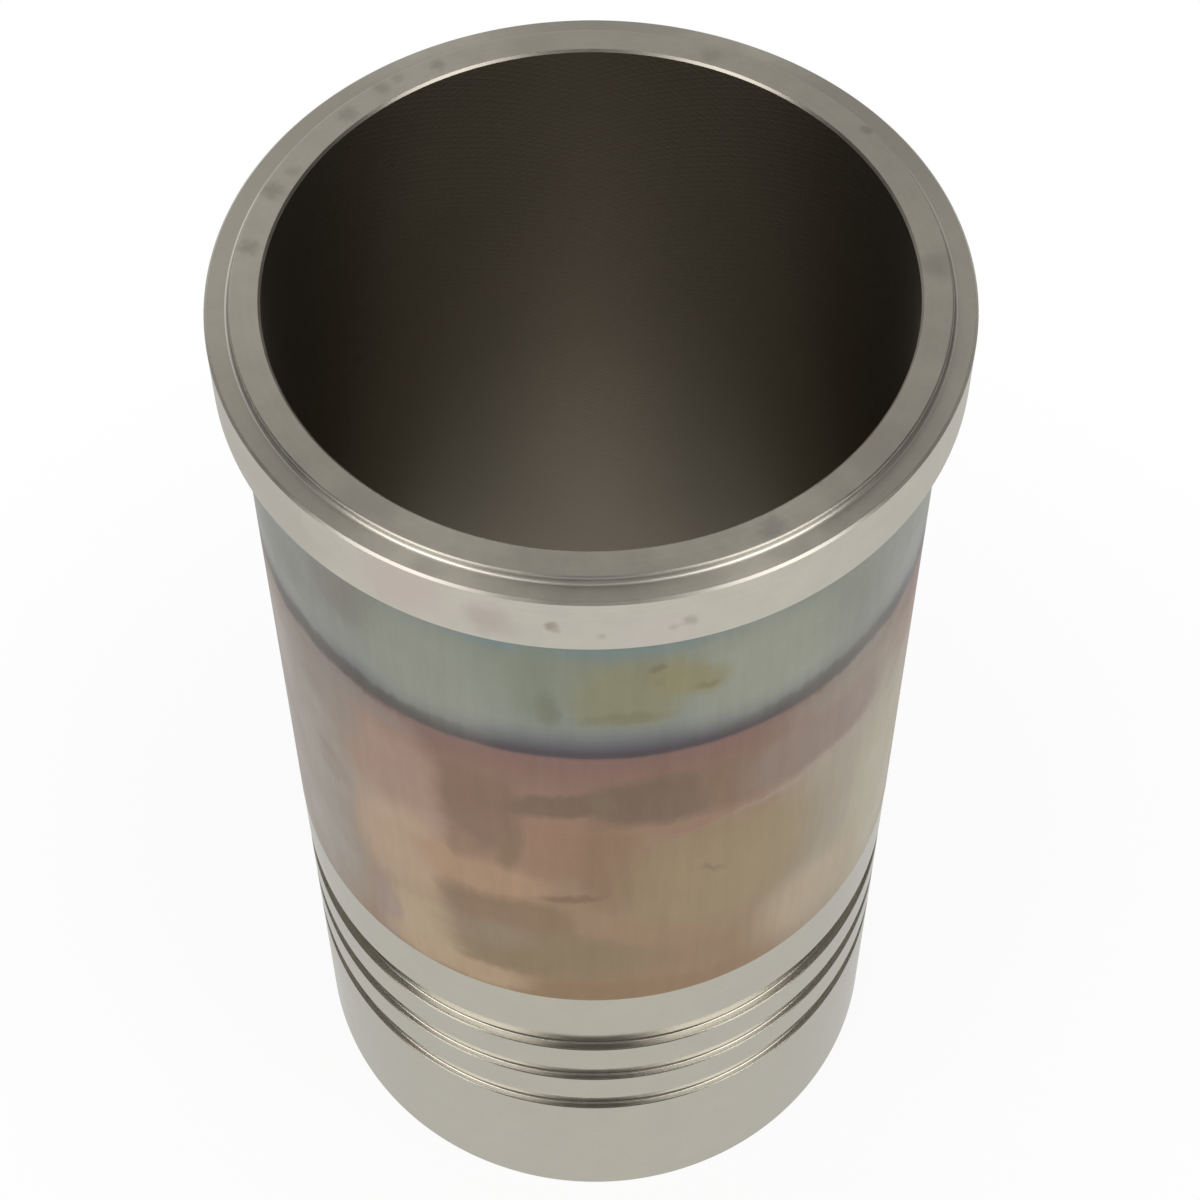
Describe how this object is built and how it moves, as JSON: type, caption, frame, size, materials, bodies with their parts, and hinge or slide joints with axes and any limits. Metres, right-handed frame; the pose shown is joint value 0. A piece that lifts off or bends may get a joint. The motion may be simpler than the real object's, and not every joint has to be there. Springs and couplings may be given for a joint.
{
  "type": "cylinder liner",
  "caption": "Turned cast-iron wet cylinder liner: open honed bore, stepped collar that hangs in an engine block, straight jacket wall and seal grooves near its foot.",
  "frame": {"origin": "centre of the bottom face, which the liner stands on", "axes": "+Z along the bore, up towards the collar; X and Y are equal, because the liner is round"},
  "size_m": [0.1466, 0.1466, 0.26],
  "materials": {
    "turned_cast_iron": "turned and ground bare metal, heat tinted on the jacket wall, honed bore"
  },
  "bodies": {
    "root": {"cylinder_liner": "turned_cast_iron"}
  },
  "joints": []
}
